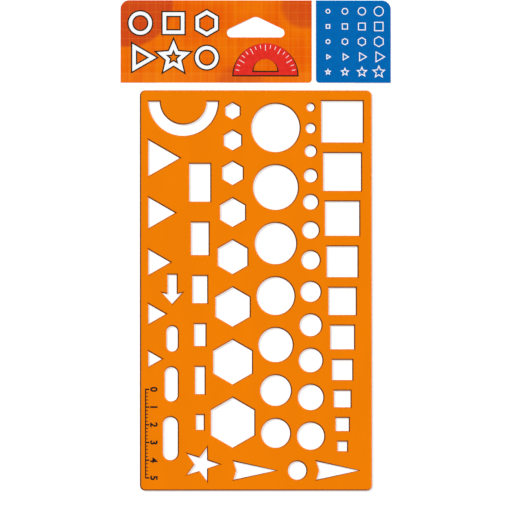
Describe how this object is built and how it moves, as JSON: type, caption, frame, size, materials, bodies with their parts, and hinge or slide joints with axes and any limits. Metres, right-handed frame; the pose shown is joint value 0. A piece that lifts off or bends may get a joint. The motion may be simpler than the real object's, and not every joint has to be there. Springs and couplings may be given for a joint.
{
  "type": "shape template",
  "caption": "Flat plastic drawing template with rows of geometric cut-outs to draw along, on a board hang card with a delta slot; the card pulls off.",
  "frame": {"origin": "under the middle of the whole object, in the plane that it lies on", "axes": "+X across the sheet to the right, +Y up the sheet towards the hang card, +Z out of the front face"},
  "size_m": [0.153, 0.2774, 0.0021],
  "materials": {
    "sheet_plastic": "orange moulded plastic with a satin gloss",
    "printed_board": "white board with a glossy printed face"
  },
  "bodies": {
    "sheet": {"template_sheet": "sheet_plastic"},
    "card": {"hang_card": "printed_board"}
  },
  "joints": [
    {"name": "card_pull_off", "type": "slide", "parent": "sheet", "child": "card", "axis": [0, 1, 0], "range_m": [0, 0.06]}
  ]
}
